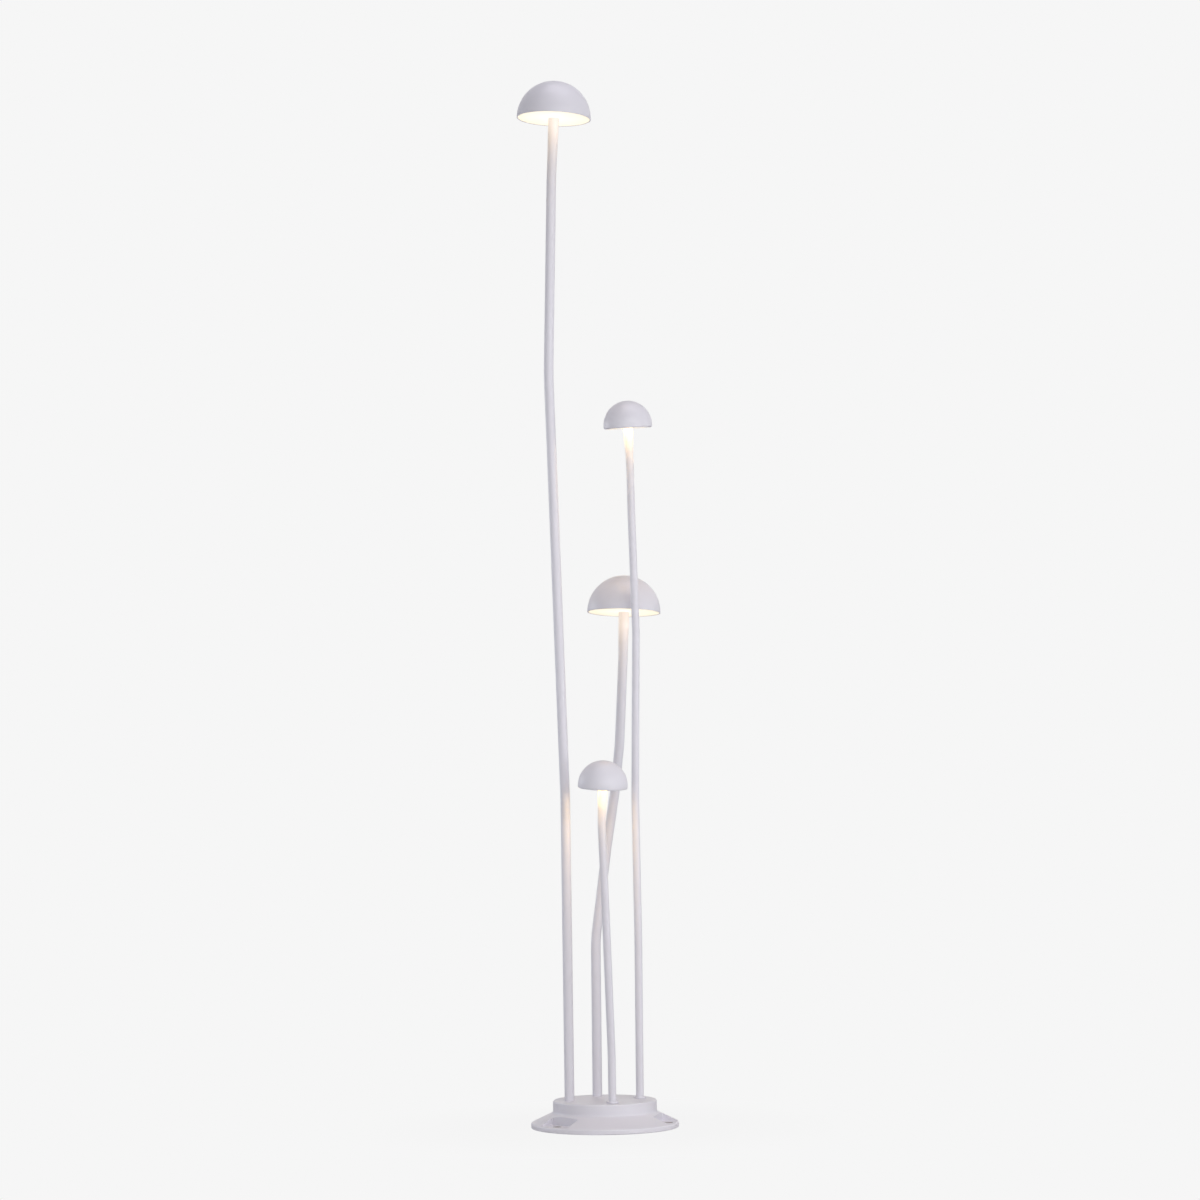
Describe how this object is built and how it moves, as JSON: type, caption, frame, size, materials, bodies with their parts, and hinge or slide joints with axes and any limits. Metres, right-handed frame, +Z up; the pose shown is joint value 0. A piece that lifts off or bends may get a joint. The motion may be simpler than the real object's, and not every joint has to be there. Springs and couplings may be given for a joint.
{
  "type": "floor lamp",
  "caption": "Floor lamp with mushroom-shaped lit heads on slender hand-bent tubes that rise from one round cast base with screw-down pockets.",
  "frame": {"origin": "centre of the circle of fixing holes, on the base's underside", "axes": "+Z up; the lamp is seen from -Y with +X to the right"},
  "size_m": [0.2333, 0.2733, 1.627],
  "materials": {
    "powder_coat": "satin white powder coat",
    "opal_acrylic": "opal acrylic diffuser, satin",
    "bare_aluminium": "turned aluminium",
    "circuit_board": "white solder mask",
    "zinc_plated_steel": "bright zinc plate",
    "galvanised_plate": "galvanised sheet",
    "silicone_rubber": "moulded silicone",
    "white_nylon": "moulded nylon",
    "driver_case": "moulded polycarbonate",
    "lead_sheath": "silicone lead sheath",
    "tinned_copper": "tinned"
  },
  "bodies": {
    "root": {"base_gasket": "silicone_rubber", "base_housing": "powder_coat", "base_plate": "galvanised_plate", "base_plate_screws": "zinc_plated_steel", "driver_screws": "zinc_plated_steel", "earth_lug": "tinned_copper", "earth_screw": "zinc_plated_steel", "foot_collars": "powder_coat", "gland_body": "white_nylon", "gland_cap": "white_nylon", "gland_nut": "white_nylon", "gland_seal": "silicone_rubber", "gland_washer": "silicone_rubber", "high_cap": "powder_coat", "high_diffuser": "opal_acrylic", "high_hub": "bare_aluminium", "high_lead": "lead_sheath", "high_led_board": "circuit_board", "high_seal": "silicone_rubber", "high_tube": "powder_coat", "hub_screws": "zinc_plated_steel", "large_foot_nuts": "zinc_plated_steel", "large_foot_washers": "zinc_plated_steel", "large_head_nuts": "zinc_plated_steel", "led_driver": "driver_case", "low_cap": "powder_coat", "low_diffuser": "opal_acrylic", "low_hub": "bare_aluminium", "low_lead": "lead_sheath", "low_led_board": "circuit_board", "low_seal": "silicone_rubber", "low_tube": "powder_coat", "middle_cap": "powder_coat", "middle_diffuser": "opal_acrylic", "middle_hub": "bare_aluminium", "middle_lead": "lead_sheath", "middle_led_board": "circuit_board", "middle_seal": "silicone_rubber", "middle_tube": "powder_coat", "small_foot_nuts": "zinc_plated_steel", "small_foot_washers": "zinc_plated_steel", "small_head_nuts": "zinc_plated_steel", "supply_wires": "lead_sheath", "tall_cap": "powder_coat", "tall_diffuser": "opal_acrylic", "tall_hub": "bare_aluminium", "tall_lead": "lead_sheath", "tall_led_board": "circuit_board", "tall_seal": "silicone_rubber", "tall_tube": "powder_coat", "terminal_block": "white_nylon", "terminal_screw": "zinc_plated_steel"}
  },
  "joints": []
}
